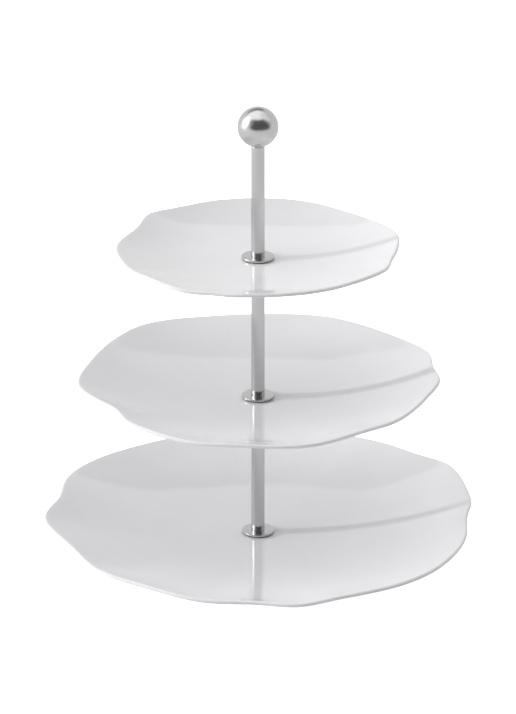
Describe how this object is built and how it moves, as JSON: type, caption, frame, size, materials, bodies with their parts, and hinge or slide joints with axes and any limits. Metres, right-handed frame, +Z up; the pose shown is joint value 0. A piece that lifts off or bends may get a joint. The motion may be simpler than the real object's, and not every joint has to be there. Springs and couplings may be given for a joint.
{
  "type": "tiered cake stand",
  "caption": "Free-standing tiered cake stand: shallow wavy-rimmed porcelain plates of growing size on a screwed steel pole with a ball knob on top.",
  "frame": {"origin": "on the pole's axis, at the plane that the bottom plate's foot ring stands on", "axes": "+Z up along the pole, +X to the right and -Y towards the viewer"},
  "size_m": [0.3202, 0.3267, 0.3466],
  "materials": {
    "porcelain": "white glazed porcelain, high gloss",
    "tube_steel": "fine satin grind",
    "washer_steel": "satin",
    "knob_steel": "satin polished",
    "thread_steel": "rolled thread, zinc plated",
    "plug_steel": "turned",
    "gasket_rubber": "matte black rubber"
  },
  "bodies": {
    "bottom_plate": {"bottom_plate": "porcelain"},
    "lower_pole": {"base_screw": "thread_steel", "bottom_lower_washer": "washer_steel", "bottom_lower_gasket": "gasket_rubber", "bottom_upper_gasket": "gasket_rubber", "bottom_upper_washer": "washer_steel", "lower_tube": "tube_steel", "lower_tube_foot_plug": "plug_steel", "lower_tube_head_plug": "plug_steel", "middle_lower_washer": "washer_steel", "middle_lower_gasket": "gasket_rubber"},
    "middle_plate": {"middle_plate": "porcelain"},
    "middle_stud": {"middle_stud": "thread_steel"},
    "middle_pole": {"middle_upper_gasket": "gasket_rubber", "middle_upper_washer": "washer_steel", "middle_tube": "tube_steel", "middle_tube_foot_plug": "plug_steel", "middle_tube_head_plug": "plug_steel", "top_lower_washer": "washer_steel", "top_lower_gasket": "gasket_rubber"},
    "top_plate": {"top_plate": "porcelain"},
    "upper_stud": {"upper_stud": "thread_steel"},
    "upper_pole": {"top_upper_gasket": "gasket_rubber", "top_upper_washer": "washer_steel", "upper_tube": "tube_steel", "upper_tube_foot_plug": "plug_steel", "upper_tube_head_plug": "plug_steel"},
    "knob_stud": {"knob_stud": "thread_steel"},
    "ball_knob": {"ball_knob": "knob_steel"}
  },
  "joints": [
    {"name": "pole_turn", "type": "hinge", "parent": "bottom_plate", "child": "lower_pole", "pos_m": [0, 0, 0.0085], "axis": [0, 0, 1], "continuous": true},
    {"name": "middle_plate_turn", "type": "hinge", "parent": "lower_pole", "child": "middle_plate", "pos_m": [0, 0, 0.1181], "axis": [0, 0, 1], "continuous": true},
    {"name": "middle_pole_lift", "type": "slide", "parent": "lower_pole", "child": "middle_stud", "axis": [0, 0, 1], "range_m": [0, 0.01]},
    {"name": "middle_pole_unscrew", "type": "hinge", "parent": "middle_stud", "child": "middle_pole", "pos_m": [0, 0, 0.1229], "axis": [0, 0, 1], "range_deg": [0, 4510]},
    {"name": "top_plate_turn", "type": "hinge", "parent": "middle_pole", "child": "top_plate", "pos_m": [0, 0, 0.2277], "axis": [0, 0, 1], "continuous": true},
    {"name": "upper_pole_lift", "type": "slide", "parent": "middle_pole", "child": "upper_stud", "axis": [0, 0, 1], "range_m": [0, 0.01]},
    {"name": "upper_pole_unscrew", "type": "hinge", "parent": "upper_stud", "child": "upper_pole", "pos_m": [0, 0, 0.2325], "axis": [0, 0, 1], "range_deg": [0, 4510]},
    {"name": "knob_lift", "type": "slide", "parent": "upper_pole", "child": "knob_stud", "axis": [0, 0, 1], "range_m": [0, 0.01]},
    {"name": "knob_unscrew", "type": "hinge", "parent": "knob_stud", "child": "ball_knob", "pos_m": [0, 0, 0.3175], "axis": [0, 0, 1], "range_deg": [0, 4510]}
  ],
  "couplings": [
    {"joint": "middle_pole_unscrew", "follows": "middle_pole_lift", "rad_per_m": 7854},
    {"joint": "upper_pole_unscrew", "follows": "upper_pole_lift", "rad_per_m": 7854},
    {"joint": "knob_unscrew", "follows": "knob_lift", "rad_per_m": 7854}
  ]
}
